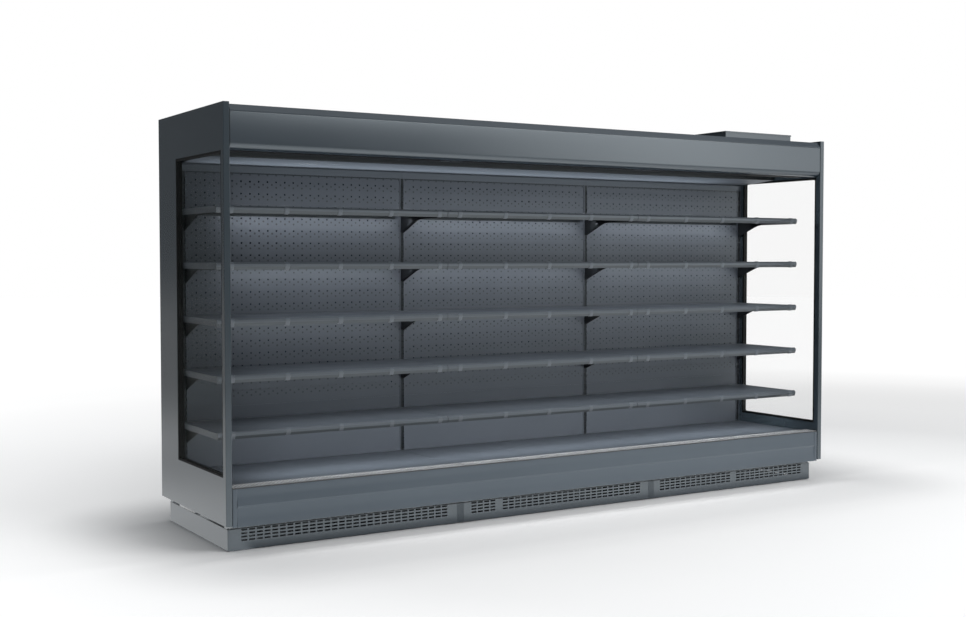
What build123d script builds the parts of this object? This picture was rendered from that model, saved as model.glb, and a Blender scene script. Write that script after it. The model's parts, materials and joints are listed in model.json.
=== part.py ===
"""Open multideck display fridge: three chilled sections between two glazed gables.

Millimetres. X runs along the case, Y from the shopper's side (low) to the back (high),
Z up. The origin is on the floor, under the centre of the case.
"""

from build123d import *
import os

os.makedirs("parts", exist_ok=True)

# ---------------------------------------------------------------- driving dimensions
section_names = ("left", "centre", "right")
section_length = 1250.0
case_depth = 934.0
case_height = 2065.0
sheet = 2.0                    # folded steel of fascia, kick plates, panels and ceiling
tray_sheet = 1.5               # folded steel of shelf trays and deck pans
seat_gap = 0.3                 # a loose piece and the piece it rests on
running_gap = 0.05             # a shaft and its bore
panel_gap = 0.5                # a panel and the post or plate beside it

gable_thickness = 30.0
gable_bottom = 130.0
gable_edge_radius = 2.0
window_front_post = 34.0       # gable ahead of the glass
window_depth = 633.0
window_bottom = 352.0
window_top_margin = 218.0      # from the gable's top
gasket_width = 8.0
gasket_inset = 1.0             # gasket and outer pane lie this far inside the gable's faces
pane_thickness = 4.0

canopy_below_gable = 8.0
roof_thickness = 50.0
canopy_front_thickness = 17.0  # insulated upstand behind the fascia
fascia_inset = 1.0             # fascia and bumper behind the gable's front edge
fascia_end_gap = 3.0
fascia_height = 175.0
trim_height = 32.0             # from the fascia up to the canopy's top
fascia_lip_radius = 35.0
fascia_lip_depth = 45.0
fascia_bend_radius = 3.0
fascia_top_flange = 24.0
trim_nose = 4.0
trim_set_back = 20.0
trim_flat = 6.0                # level strip behind the trim's slope
honeycomb_depth = 100.0
honeycomb_height = 20.0
honeycomb_recess = 35.0        # above the fascia's lower edge
honeycomb_cell = 20.0
honeycomb_pitch = 25.0
honeycomb_rim = 10.0
ceiling_front_from_wall = 294.0
ceiling_rear_drop = 21.0
ceiling_rear_flange = 35.0
ceiling_front_flange = 20.0
ceiling_bend_radius = 3.0
lamp_width = 28.0
lamp_height = 30.0
lamp_holder_length = 60.0
lamp_lens_height = 8.0
lamp_lens_radius = 4.0
lamp_holder_radius = 2.0

wall_thickness = 60.0          # insulated back
air_duct_depth = 182.0         # between the insulated back and the perforated panels
post_width = 30.0
post_depth = 28.0
post_proud = 3.0               # post ahead of the perforated panels
post_wall = 2.0
slot_pitch = 100.0 / 3
slot_width = 5.0
slot_height = 24.0
slot_offset = 6.5              # a column of slots from the middle of its post
wall_hole_diameter = 10.0
wall_hole_pitch = 48.0
wall_hole_row = 63.0
wall_hole_margin = 40.0
wall_plain_height = 305.0      # plain lower panels under the perforated ones

shelf_rows = 5
slots_per_row = 8
lowest_shelf = 535.0
tray_depth = 478.0
tray_fold = 30.0
tray_side_gap = 1.5
tray_wall_gap = 6.0
tray_notch = 46.0              # rear fold cut away at each end for the brackets
tray_pivot_drop = 4.0
tray_pivot_from_rear = 3.0
rail_depth = 18.0
rail_height = 34.0
rail_above_tray = 2.0
rail_top_bevel = 8.0
rail_bottom_bevel = 14.0
rail_cap_length = 4.0
bracket_thickness = 3.0
bracket_arm_height = 33.0
bracket_nose_gap = 6.0
bracket_rear_drop = 8.0
bracket_rear_relief = 20.0
gusset_below_hook = 8.0        # gusset's corner at the wall, under the lower hook
gusset_reach = 178.0
gusset_toe = 32.0              # length of the easing on each side of the gusset's toe
gusset_toe_drop = 16.0         # fall of the easing on the gusset's side
gusset_toe_dip = 5.3           # fall of the toe itself
hook_drop = 20.0               # upper slot below the tray's top
hooks_apart = 2                # slot pitches between the two hooks
hook_neck = 16.0
hook_nib = 6.0
hook_length = 5.0

deck_below_bumper = 4.0
deck_fold = 15.7
deck_end_gap = 1.0
deck_rear_gap = 1.0
grille_width = 88.0
grille_behind_bumper = 4.0
grille_thickness = 5.0
grille_foot = 6.0
grille_slot_pitch = 14.8
grille_slot_width = 7.4
grille_slot_length = 71.0
grille_front_margin = 7.0
grille_end_margin = 10.0

bumper_depth = 15.0
bumper_below_gable = 8.0
bumper_height = 178.0
bumper_band_inset = 5.0        # upright bands behind the upper flare's edge
bumper_top_chamfer = (1.0, 3.0)
bumper_flare_drop = 38.0       # from the bumper's top to the upper flare
bumper_flare_height = 44.0
bumper_return_height = 8.0     # from the upper flare's edge back to the lower band
bumper_low_flare_drop = 132.0
bumper_foot_inset = 1.0
bumper_foot_chamfer = (2.0, 2.0)
bumper_cap_length = 24.0
bumper_cap_radius = 5.0
bumper_cap_inset = 1.0
bumper_end_gap = 1.5

tub_bottom = 190.0
tub_floor = 40.0
tub_front_wall = 20.0
tub_front_height = 32.0
tub_rib_width = 12.0

plinth_below_gable = 28.0
plinth_inset = 31.0            # plinth inside the gable's outer face
plinth_front_inset = 63.0
plinth_rear_inset = 34.0
plinth_floor_gap = 4.0
plinth_corner_radius = 8.0
plinth_return = 14.0
kick_joint_width = 40.0
kick_flange = 12.0
kick_slot_length = 30.0
kick_slot_height = 8.0
kick_slot_pitch_x = 38.4
kick_slot_pitch_z = 16.0
kick_slot_rows = 4
kick_slot_top_margin = 6.0    # from the plate's top to the middle of the top row
kick_slot_end_margin = 65.0
kick_slot_shift = -6.0         # slots sit left of the section's middle
kick_blank_columns = {"left": (), "centre": (4,), "right": (14,)}

frame_beam_height = 30.0
frame_beam_depth = 40.0
frame_post_width = 30.0
runner_height = 8.0
foot_radius = 19.5
foot_pad_height = 8.0
foot_chamfer = 2.0
foot_stem_radius = 5.0
foot_height = 22.0

unit_tray_length = 900.0
unit_shift = 40.0              # condenser from the section's middle
condenser_length = 400.0
condenser_depth = 60.0
condenser_below_tub = 18.0
condenser_beam_gap = 5.0
condenser_fan_margin = 6.0     # from the fan's opening to the shroud's edge
compressor_radius = 75.0
compressor_below_tub = 10.0
compressor_dome = 25.0
compressor_plate = (200.0, 170.0, 4.0)
compressor_y = 60.0
grommet_radius = 12.0
grommet_inset = 18.0           # from the foot plate's edge
grommet_height = 4.0
terminal_box = (40.0, 24.0, 50.0)
terminal_box_proud = 18.0      # beyond the shell
pipe_radius = 5.0
pipe_bend = 20.0
pipe_reach = 55.0
discharge_height = 88.0
suction_height = 108.0
drip_tray = (260.0, 220.0, 45.0)
drip_tray_wall = 2.0
drip_tray_shift = 270.0

evaporator_above_fans = 77.0
evaporator_height = 280.0
evaporator_front_gap = 17.0    # behind the posts
evaporator_end_margin = 40.0
coil_end_plate = 3.0
coil_fin = 2.0                 # each stands for a bundle of thin fins
coil_fin_pitch = 18.0
coil_tube_rows = 3
coil_tube_wall = 6.0
fan_plate_above_tub = 110.0
fan_plate_thickness = 3.0
fan_plate_end_margin = 20.0
evaporator_fan_margin = 8.5    # from the fan's opening to the plate's edge
fan_ring_wall = 3.0
fan_ring_length = 32.0
fan_arm_width = 10.0
fan_arm_thickness = 6.0
fan_arm_count = 4
motor_radius = 28.0
motor_length = 46.0
motor_clamp_wall = 4.0
shaft_radius = 4.0
shaft_length = 26.0
rotor_tip_gap = 3.5
rotor_start = 5.0
hub_radius = 22.0
hub_length = 20.0
blade_count = 5
blade_chord = 24.0
blade_thickness = 2.0
blade_angle = 32.0

box_length = 527.0
box_depth = 350.0
box_height = 43.0
box_wall = 2.0
box_right_inset = 131.0        # from the case's right end
box_front_inset = 150.0
lid_height = 8.0
lid_chamfer = 2.0
lid_overhang = 3.0

# ------------------------------------------------------------------- derived places
section_count = len(section_names)
inner_length = section_length * section_count
inner_end = inner_length / 2
outer_end = inner_end + gable_thickness
front = -case_depth / 2
back = case_depth / 2
canopy_top = case_height - canopy_below_gable
roof_bottom = canopy_top - roof_thickness
fascia_top = canopy_top - trim_height
fascia_bottom = fascia_top - fascia_height
skin_front = front + fascia_inset
roof_front = skin_front + trim_set_back + trim_flat
lip_back = skin_front + fascia_lip_depth
wall_inside = back - wall_thickness
panel_face = wall_inside - air_duct_depth
post_front = panel_face - post_proud
post_back = post_front + post_depth
section_edges = [-inner_end + section_length * i for i in range(section_count + 1)]
post_centres = [
    min(max(edge, -inner_end + post_width / 2), inner_end - post_width / 2)
    for edge in section_edges
]
shelf_tops = [lowest_shelf + i * slots_per_row * slot_pitch for i in range(shelf_rows)]
tray_rear = post_front - tray_wall_gap
tray_front = tray_rear - tray_depth
tub_top = tub_bottom + tub_floor
bumper_back = skin_front + bumper_depth
bumper_bottom = gable_bottom - bumper_below_gable
bumper_top = bumper_bottom + bumper_height
deck_top = bumper_top - deck_below_bumper
rib_top = deck_top - deck_fold - seat_gap
deck_rear = post_front - deck_rear_gap
grille_front = skin_front + grille_behind_bumper
grille_back = grille_front + grille_width
deck_front = grille_back - grille_foot
plinth_height = gable_bottom - plinth_below_gable
plinth_end = outer_end - plinth_inset
plinth_front = front + plinth_front_inset
plinth_back = back - plinth_rear_inset
beam_front = plinth_front + sheet + kick_flange
frame_top = gable_bottom
beam_bottom = frame_top - frame_beam_height
runner_bottom = foot_height
runner_top = runner_bottom + runner_height
unit_floor = runner_top + sheet
condenser_front = beam_front + frame_beam_depth + condenser_beam_gap
condenser_back = condenser_front + condenser_depth
condenser_height = tub_bottom - condenser_below_tub - unit_floor
condenser_fan_radius = condenser_height / 2 - condenser_fan_margin
compressor_bottom = unit_floor + grommet_height + compressor_plate[2]
compressor_height = tub_bottom - compressor_below_tub - compressor_bottom
fan_plate_height = tub_top + fan_plate_above_tub
evaporator_bottom = fan_plate_height + fan_plate_thickness + evaporator_above_fans
evaporator_fan_radius = (wall_inside - post_back) / 2 - evaporator_fan_margin
honeycomb_bottom = fascia_bottom + honeycomb_recess
honeycomb_back = lip_back + honeycomb_depth
ceiling_front = post_front - ceiling_front_from_wall


# -------------------------------------------------------------------------- helpers
def save(piece, label):
    """Label a finished builder's part and write it to its own STEP file."""
    piece.part.label = label
    export_step(piece.part, f"parts/{label}.step")


def save_group(pieces, label):
    """Write several finished solids that share one node, each still its own solid."""
    group = Compound(label=label, children=[solid for piece in pieces for solid in piece.part.solids()])
    export_step(group, f"parts/{label}.step")


def block(x, y, z, mode=Mode.ADD):
    """Fill the given (low, high) span on each axis, inside the builder that is open."""
    spans = (x, y, z)
    with Locations(tuple((low + high) / 2 for low, high in spans)):
        Box(*(high - low for low, high in spans), mode=mode)


def mirrored(side, low, high):
    """The (low, high) span on X for the right side, or its mirror on the left."""
    return (low, high) if side > 0 else (-high, -low)


def sheet_strip(points, radii, thickness, side, x):
    """A folded sheet: its section in the YZ plane, thickened to one side, runs along X."""
    with BuildPart() as strip:
        with BuildSketch(Plane.YZ.offset(x[0])):
            with BuildLine():
                FilletPolyline(*points, radius=radii)
                offset(amount=thickness, side=side)
            make_face()
        extrude(amount=x[1] - x[0])
    return strip


def yz_prism(points, x):
    """A straight bar along X with a polygon section in the YZ plane."""
    with BuildPart() as bar:
        with BuildSketch(Plane.YZ.offset(x[0])):
            with BuildLine():
                Polyline(*points, close=True)
            make_face()
        extrude(amount=x[1] - x[0])
    return bar


def open_tray(x, y, z, wall):
    """A folded tray: a flat top with its edges turned down and an open underside."""
    block(x, y, z)
    inner_x, inner_y = ((span[0] + wall, span[1] - wall) for span in (x, y))
    block(inner_x, inner_y, (z[0], z[1] - wall), mode=Mode.SUBTRACT)


# --------------------------------------------------------------------------- gables
window_y = (front + window_front_post, front + window_front_post + window_depth)
window_z = (window_bottom, case_height - window_top_margin)


def make_gable(side):
    """Insulated end panel with a tall window cut through it."""
    x = mirrored(side, inner_end, outer_end)
    with BuildPart() as gable:
        block(x, (front, back), (gable_bottom, case_height))
        block(x, window_y, window_z, mode=Mode.SUBTRACT)
        outer_edges = gable.edges().filter_by(Axis.Z).group_by(Axis.Y)
        fillet(outer_edges[0] + outer_edges[-1], gable_edge_radius)
    return gable


def make_gasket(side):
    """Black glazing gasket that lines the window on all four sides."""
    x = mirrored(side, inner_end + gasket_inset, outer_end - gasket_inset)
    with BuildPart() as gasket:
        block(x, window_y, window_z)
        block(
            x,
            (window_y[0] + gasket_width, window_y[1] - gasket_width),
            (window_z[0] + gasket_width, window_z[1] - gasket_width),
            mode=Mode.SUBTRACT,
        )
    return gasket


def make_panes(side):
    """Outer and inner pane of the sealed glass unit, held by the gasket."""
    outer_face = outer_end - gasket_inset
    inner_face = inner_end + gasket_inset
    panes = []
    for low, high in (
        (outer_face - pane_thickness, outer_face),
        (inner_face, inner_face + pane_thickness),
    ):
        with BuildPart() as pane:
            block(
                mirrored(side, low, high),
                (window_y[0] + gasket_width, window_y[1] - gasket_width),
                (window_z[0] + gasket_width, window_z[1] - gasket_width),
            )
        panes.append(pane)
    return panes


for side, side_name in ((-1, "left"), (1, "right")):
    save(make_gable(side), f"gable_{side_name}")
save_group([make_gasket(side) for side in (-1, 1)], "gable_gaskets")
save_group([pane for side in (-1, 1) for pane in make_panes(side)], "gable_glass")


# ------------------------------------------------------------ base frame and plinth
frame_end = plinth_end - sheet
frame_post_limit = frame_end - foot_radius - panel_gap
frame_post_x = [min(max(edge, -frame_post_limit), frame_post_limit) for edge in section_edges]
rear_beam = (
    plinth_back - plinth_corner_radius - frame_beam_depth,
    plinth_back - plinth_corner_radius,
)
front_beam = (beam_front, beam_front + frame_beam_depth)


def frame_bar(x, y, z):
    """One straight member of the welded base frame."""
    with BuildPart() as bar:
        block(x, y, z)
    return bar


def post_span(middle):
    """Span of a frame post centred on the given place."""
    return middle - frame_post_width / 2, middle + frame_post_width / 2


def make_base_frame():
    """Long beams, cross beams under the tub, posts and low runners for the machine trays."""
    frame_x = (-frame_end, frame_end)
    bars = []
    for beam in (front_beam, rear_beam):
        post_y = post_span(sum(beam) / 2)
        bars.append(frame_bar(frame_x, beam, (beam_bottom, frame_top)))
        bars.append(frame_bar(frame_x, post_y, (runner_bottom, runner_top)))
        bars += [frame_bar(post_span(x), post_y, (runner_top, beam_bottom)) for x in frame_post_x]
    cross_y = (front_beam[0], wall_inside)
    bars += [frame_bar(post_span(x), cross_y, (frame_top, tub_bottom)) for x in frame_post_x]
    return bars


def make_foot(x, y):
    """Levelling foot: a pad on the floor with its threaded stem up to the runner."""
    with BuildPart(Plane((x, y, 0))) as foot:
        Cylinder(foot_radius, foot_pad_height, align=(Align.CENTER, Align.CENTER, Align.MIN))
        chamfer(foot.edges().group_by(Axis.Z)[-1], foot_chamfer)
        Cylinder(foot_stem_radius, foot_height, align=(Align.CENTER, Align.CENTER, Align.MIN))
    return foot


def make_plinth_end(side):
    """Side skirt of the plinth, wrapped round the front corner and the rear corner."""
    outer, inner = side * plinth_end, side * (plinth_end - plinth_return)
    with BuildPart() as skirt:
        with BuildSketch(Plane.XY.offset(plinth_floor_gap)):
            with BuildLine():
                FilletPolyline(
                    (inner, plinth_front),
                    (outer, plinth_front),
                    (outer, plinth_back),
                    (inner, plinth_back),
                    radius=plinth_corner_radius,
                )
                offset(amount=sheet, side=Side.LEFT if side > 0 else Side.RIGHT)
            make_face()
        extrude(amount=plinth_height - plinth_floor_gap)
    return skirt


def kick_span(index):
    """X span of one kick plate, between the joint covers or the plinth's corners."""
    low = section_edges[index] + kick_joint_width / 2 + panel_gap
    high = section_edges[index + 1] - kick_joint_width / 2 - panel_gap
    corner = plinth_end - plinth_return - panel_gap
    if index == 0:
        low = -corner
    if index == section_count - 1:
        high = corner
    return low, high


def make_kick_plate(index):
    """Clip-on kick plate with rows of air slots for the condenser behind it."""
    x = kick_span(index)
    z = (plinth_floor_gap, plinth_height)
    slot_middle = (section_edges[index] + section_edges[index + 1]) / 2 + kick_slot_shift
    column_count = int((section_length - 2 * kick_slot_end_margin) / kick_slot_pitch_x)
    blanks = kick_blank_columns[section_names[index]]
    slots = [
        (
            slot_middle + (column - (column_count - 1) / 2) * kick_slot_pitch_x,
            z[1] - kick_slot_top_margin - row * kick_slot_pitch_z,
        )
        for column in range(column_count)
        if column not in blanks
        for row in range(kick_slot_rows)
    ]
    with BuildPart() as plate:
        with BuildSketch(Plane.XZ.offset(-plinth_front)):
            with Locations(((x[0] + x[1]) / 2, (z[0] + z[1]) / 2)):
                Rectangle(x[1] - x[0], z[1] - z[0])
            with Locations(*slots):
                Rectangle(kick_slot_length, kick_slot_height, mode=Mode.SUBTRACT)
        extrude(amount=-sheet)
        flange_y = (plinth_front + sheet, plinth_front + sheet + kick_flange - panel_gap)
        block(x, flange_y, (z[0], z[0] + sheet))
        block(x, flange_y, (z[1] - sheet, z[1]))
    return plate


def make_kick_joint(edge):
    """Upright cover between two kick plates, fixed to the frame's front beam."""
    with BuildPart() as cover:
        half = kick_joint_width / 2
        block((edge - half, edge + half), (plinth_front, beam_front), (plinth_floor_gap, plinth_height))
        block(
            (edge - half + sheet, edge + half - sheet),
            (plinth_front + sheet, beam_front),
            (plinth_floor_gap, plinth_height - sheet),
            mode=Mode.SUBTRACT,
        )
    return cover


foot_places = [(x, sum(beam) / 2) for x in frame_post_x for beam in (front_beam, rear_beam)]
save_group(make_base_frame(), "base_frame")
save_group([make_foot(x, y) for x, y in foot_places], "levelling_feet")
save_group([make_plinth_end(side) for side in (-1, 1)], "plinth_ends")
save_group([make_kick_joint(edge) for edge in section_edges[1:-1]], "kick_joint_covers")
for index, name in enumerate(section_names):
    save(make_kick_plate(index), f"kick_plate_{name}")


# ------------------------------------------------------------------- tub and bumper
def make_tub():
    """Insulated floor of the case, with a front wall and the ribs that carry the deck."""
    with BuildPart() as tub:
        block((-inner_end, inner_end), (bumper_back, wall_inside), (tub_bottom, tub_top))
        block(
            (-inner_end, inner_end),
            (bumper_back, bumper_back + tub_front_wall),
            (tub_top, tub_top + tub_front_height),
        )
        for edge in section_edges:
            low = max(edge - tub_rib_width / 2, -inner_end)
            high = min(edge + tub_rib_width / 2, inner_end)
            block((low, high), (bumper_back + tub_front_wall, post_front), (tub_top, rib_top))
    return tub


def bumper_outline():
    """Side view of the bumper: an upright band over an outward flare, and the same again below."""
    band = skin_front + bumper_band_inset
    foot = skin_front + bumper_foot_inset
    flare_top = bumper_top - bumper_flare_drop
    flare_edge = flare_top - bumper_flare_height
    return [
        (bumper_back, bumper_bottom),
        (bumper_back, bumper_top),
        (band + bumper_top_chamfer[0], bumper_top),
        (band, bumper_top - bumper_top_chamfer[1]),
        (band, flare_top),
        (skin_front, flare_edge),
        (band, flare_edge - bumper_return_height),
        (band, bumper_top - bumper_low_flare_drop),
        (foot, bumper_bottom + bumper_foot_chamfer[1]),
        (foot + bumper_foot_chamfer[0], bumper_bottom),
    ]


def make_bumper():
    """Long bumper profile across the front of the tub."""
    end = inner_end - bumper_end_gap - bumper_cap_length
    return yz_prism(bumper_outline(), (-end, end))


def make_bumper_cap(side):
    """Moulded end cap that closes the bumper profile beside the gable."""
    cap_high = inner_end - bumper_end_gap
    x = mirrored(side, cap_high - bumper_cap_length, cap_high)
    with BuildPart() as cap:
        block(x, (skin_front + bumper_cap_inset, bumper_back), (bumper_bottom, bumper_top))
        fillet(cap.faces().sort_by(Axis.Y)[0].edges(), bumper_cap_radius)
    return cap


save(make_tub(), "base_tub")
save(make_bumper(), "bumper")
save_group([make_bumper_cap(side) for side in (-1, 1)], "bumper_end_caps")


# ------------------------------------------------------------------ back and canopy
def make_roof():
    """Insulated roof with the upstand that closes the air duct behind the fascia."""
    with BuildPart() as roof:
        block((-inner_end, inner_end), (roof_front, back), (roof_bottom, canopy_top))
        block(
            (-inner_end, inner_end),
            (lip_back - sheet - canopy_front_thickness, lip_back - sheet),
            (honeycomb_bottom, roof_bottom),
        )
    return roof


with BuildPart() as rear_wall:
    block((-inner_end, inner_end), (wall_inside, back), (frame_top, roof_bottom))
save(rear_wall, "rear_wall")
save(make_roof(), "roof_panel")

fascia_x = (-inner_end + fascia_end_gap, inner_end - fascia_end_gap)
fascia = sheet_strip(
    [
        (skin_front + fascia_top_flange, fascia_top),
        (skin_front, fascia_top),
        (skin_front, fascia_bottom),
        (lip_back, fascia_bottom),
        (lip_back, honeycomb_bottom + honeycomb_height),
    ],
    [fascia_bend_radius, fascia_lip_radius, fascia_bend_radius],
    sheet,
    Side.LEFT,
    fascia_x,
)
save(fascia, "canopy_fascia")

canopy_trim = yz_prism(
    [
        (skin_front, fascia_top),
        (skin_front, fascia_top + trim_nose),
        (skin_front + trim_set_back, canopy_top),
        (roof_front, canopy_top),
        (roof_front, fascia_top),
    ],
    fascia_x,
)
save(canopy_trim, "canopy_trim")


def make_ceiling(index):
    """Ceiling sheet of one section: slope over the shelves, recess for lamp and air outlet."""
    return sheet_strip(
        [
            (post_front, fascia_bottom - ceiling_rear_drop - ceiling_rear_flange),
            (post_front, fascia_bottom - ceiling_rear_drop),
            (ceiling_front, fascia_bottom),
            (ceiling_front, honeycomb_bottom),
            (honeycomb_back + sheet, honeycomb_bottom),
            (honeycomb_back + sheet, honeycomb_bottom + ceiling_front_flange),
        ],
        [ceiling_bend_radius] * 4,
        sheet,
        Side.LEFT,
        (section_edges[index] + panel_gap, section_edges[index + 1] - panel_gap),
    )


def make_honeycomb(index):
    """Air-curtain outlet: a slab of open square cells in a plain rim."""
    x = (section_edges[index] + panel_gap, section_edges[index + 1] - panel_gap)
    cells_x = int((x[1] - x[0] - 2 * honeycomb_rim) / honeycomb_pitch)
    cells_y = int((honeycomb_depth - 2 * honeycomb_rim) / honeycomb_pitch)
    middle = ((x[0] + x[1]) / 2, lip_back + honeycomb_depth / 2)
    with BuildPart() as honeycomb:
        with BuildSketch(Plane.XY.offset(honeycomb_bottom)):
            with Locations(middle):
                Rectangle(x[1] - x[0], honeycomb_depth)
            with Locations(middle):
                with GridLocations(honeycomb_pitch, honeycomb_pitch, cells_x, cells_y):
                    Rectangle(honeycomb_cell, honeycomb_cell, mode=Mode.SUBTRACT)
        extrude(amount=honeycomb_height)
    return honeycomb


def make_lamp(index):
    """Canopy lamp of one section: housing, lens under it and a metal holder at each end."""
    x = (section_edges[index] + sheet, section_edges[index + 1] - sheet)
    y = (honeycomb_back + sheet, honeycomb_back + sheet + lamp_width)
    top = honeycomb_bottom - sheet
    bottom = top - lamp_height
    inner_x = (x[0] + lamp_holder_length, x[1] - lamp_holder_length)
    with BuildPart() as housing:
        block(inner_x, y, (bottom + lamp_lens_height, top))
    with BuildPart() as lens:
        block(inner_x, y, (bottom, bottom + lamp_lens_height))
        fillet(lens.faces().sort_by(Axis.Z)[0].edges().filter_by(Axis.X), lamp_lens_radius)
    pieces = [housing, lens]
    for span in ((x[0], inner_x[0]), (inner_x[1], x[1])):
        with BuildPart() as holder:
            block(span, y, (bottom, top))
            fillet(holder.faces().sort_by(Axis.Z)[0].edges(), lamp_holder_radius)
        pieces.append(holder)
    return pieces


save_group([make_ceiling(i) for i in range(section_count)], "ceiling_panel")
save_group([make_honeycomb(i) for i in range(section_count)], "discharge_honeycomb")
save_group([piece for i in range(section_count) for piece in make_lamp(i)], "canopy_lamps")


# ---------------------------------------------------------- posts, panels, brackets
post_z = (tub_top, roof_bottom)
slot_reference = lowest_shelf - hook_drop
slots_below = int((slot_reference - tub_top - slot_height) / slot_pitch)
slots_above = int((fascia_bottom - ceiling_rear_drop - slot_height - slot_reference) / slot_pitch)
slot_heights = [slot_reference + i * slot_pitch for i in range(-slots_below, slots_above)]


def make_post(centre):
    """Slotted steel tube that carries the shelf brackets on two columns of slots."""
    x = (centre - post_width / 2, centre + post_width / 2)
    with BuildPart() as post:
        with BuildSketch(Plane.XZ.offset(-post_front)):
            with Locations((centre, (post_z[0] + post_z[1]) / 2)):
                Rectangle(post_width, post_z[1] - post_z[0])
            with Locations(*[(centre + side * slot_offset, z) for side in (-1, 1) for z in slot_heights]):
                Rectangle(slot_width, slot_height, mode=Mode.SUBTRACT)
        extrude(amount=-post_wall)
        block((x[0], x[0] + post_wall), (post_front + post_wall, post_back), post_z)
        block((x[1] - post_wall, x[1]), (post_front + post_wall, post_back), post_z)
        block((x[0] + post_wall, x[1] - post_wall), (post_back - post_wall, post_back), post_z)
    return post


def make_wall_panels(index):
    """Rear air panels of one section: a plain one by the deck, a tall one with rows of holes."""
    x = (
        post_centres[index] + post_width / 2 + panel_gap,
        post_centres[index + 1] - post_width / 2 - panel_gap,
    )
    joint = deck_top + wall_plain_height
    z = (joint + panel_gap, fascia_bottom - ceiling_rear_drop)
    hole_columns = int((x[1] - x[0] - wall_hole_margin) / wall_hole_pitch)
    hole_rows = int((z[1] - z[0] - wall_hole_margin) / wall_hole_row)
    with BuildPart() as lower:
        block(x, (panel_face, panel_face + sheet), (deck_top + seat_gap, joint))
    with BuildPart() as upper:
        with BuildSketch(Plane.XZ.offset(-panel_face)):
            with Locations(((x[0] + x[1]) / 2, (z[0] + z[1]) / 2)):
                Rectangle(x[1] - x[0], z[1] - z[0])
                with GridLocations(wall_hole_pitch, wall_hole_row, hole_columns, hole_rows):
                    Circle(wall_hole_diameter / 2, mode=Mode.SUBTRACT)
        extrude(amount=-sheet)
    return [lower, upper]


def bracket_outline(top):
    """Side view of a shelf bracket: arm, gusset and the two hooks behind the post's face."""
    arm_top = top - tray_sheet - seat_gap
    arm_bottom = top - bracket_arm_height
    nose = tray_front + tray_sheet + bracket_nose_gap
    rear = post_front - panel_gap
    inside = post_front + post_wall + seat_gap
    outline = [
        (nose, arm_top),
        (tray_rear - bracket_rear_relief, arm_top),
        (tray_rear - bracket_rear_relief, arm_top - bracket_rear_drop),
        (rear, arm_top - bracket_rear_drop),
    ]
    for hook in (0, hooks_apart):
        seat = top - hook_drop - hook * slot_pitch - slot_height / 2 + seat_gap
        outline += [
            (rear, seat + hook_neck),
            (inside + hook_length, seat + hook_neck),
            (inside + hook_length, seat - hook_nib),
            (inside, seat - hook_nib),
            (inside, seat),
            (rear, seat),
        ]
    outline += [
        (rear, seat - seat_gap - gusset_below_hook),
        (post_front - gusset_reach + gusset_toe, arm_bottom - gusset_toe_drop),
        (post_front - gusset_reach, arm_bottom - gusset_toe_dip),
        (post_front - gusset_reach - gusset_toe, arm_bottom),
        (nose, arm_bottom),
    ]
    return outline


def make_bracket(top, middle_x):
    """Shelf bracket cut from flat plate, hooked into two slots of its post."""
    half = bracket_thickness / 2
    return yz_prism(bracket_outline(top), (middle_x - half, middle_x + half))


bracket_middles = [
    post_centres[index + end] + (slot_offset if end == 0 else -slot_offset)
    for index in range(section_count)
    for end in (0, 1)
]
save_group([make_post(centre) for centre in post_centres], "upright_posts")
save_group([panel for i in range(section_count) for panel in make_wall_panels(i)], "rear_air_panels")
save_group([make_bracket(top, x) for top in shelf_tops for x in bracket_middles], "shelf_brackets")


# -------------------------------------------------------------------------- shelves
def make_shelf(index, top):
    """Shelf of one section: folded tray, price rail on its front fold and two rail caps."""
    x = (section_edges[index] + tray_side_gap, section_edges[index + 1] - tray_side_gap)
    with BuildPart() as tray:
        open_tray(x, (tray_front, tray_rear), (top - tray_fold, top), tray_sheet)
        for notch in ((x[0] + tray_sheet, x[0] + tray_notch), (x[1] - tray_notch, x[1] - tray_sheet)):
            block(
                notch,
                (tray_rear - tray_sheet, tray_rear),
                (top - tray_fold, top - tray_sheet),
                mode=Mode.SUBTRACT,
            )
    rail_top = top + rail_above_tray
    rail_bottom = rail_top - rail_height
    rail_front = tray_front - rail_depth
    rail_outline = [
        (tray_front, rail_bottom),
        (tray_front, rail_top),
        (rail_front + rail_top_bevel, rail_top),
        (rail_front, rail_top - rail_top_bevel),
        (rail_front, rail_bottom + rail_bottom_bevel),
        (rail_front + rail_bottom_bevel / 2, rail_bottom),
    ]
    inner_x = (x[0] + rail_cap_length, x[1] - rail_cap_length)
    rail = yz_prism(rail_outline, inner_x)
    caps = [yz_prism(rail_outline, span) for span in ((x[0], inner_x[0]), (inner_x[1], x[1]))]
    return [tray, rail] + caps


for row, top in enumerate(shelf_tops, start=1):
    for index, name in enumerate(section_names):
        save_group(make_shelf(index, top), f"shelf_{row}_{name}")


# ----------------------------------------------------------- deck and return grille
def make_deck_pan(index):
    """Loose deck pan of one section, resting on the tub's ribs."""
    x = (section_edges[index] + deck_end_gap, section_edges[index + 1] - deck_end_gap)
    with BuildPart() as pan:
        open_tray(x, (deck_front, deck_rear), (deck_top - deck_fold, deck_top), tray_sheet)
    return pan


def make_return_grille(index):
    """Slotted air-return grille, its rear foot fixed on the front edge of the deck pan."""
    x = (section_edges[index] + deck_end_gap, section_edges[index + 1] - deck_end_gap)
    middle = (x[0] + x[1]) / 2
    bottom = bumper_top + seat_gap
    slot_count = int((x[1] - x[0] - grille_end_margin) / grille_slot_pitch)
    slot_y = grille_front + grille_front_margin + grille_slot_length / 2
    with BuildPart() as grille:
        with BuildSketch(Plane.XY.offset(bottom)):
            with Locations((middle, (grille_front + grille_back) / 2)):
                Rectangle(x[1] - x[0], grille_width)
            with Locations((middle, slot_y)):
                with GridLocations(grille_slot_pitch, grille_width, slot_count, 1):
                    Rectangle(grille_slot_width, grille_slot_length, mode=Mode.SUBTRACT)
        extrude(amount=grille_thickness)
        block(x, (deck_front, grille_back), (deck_top, bottom))
    return grille


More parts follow.
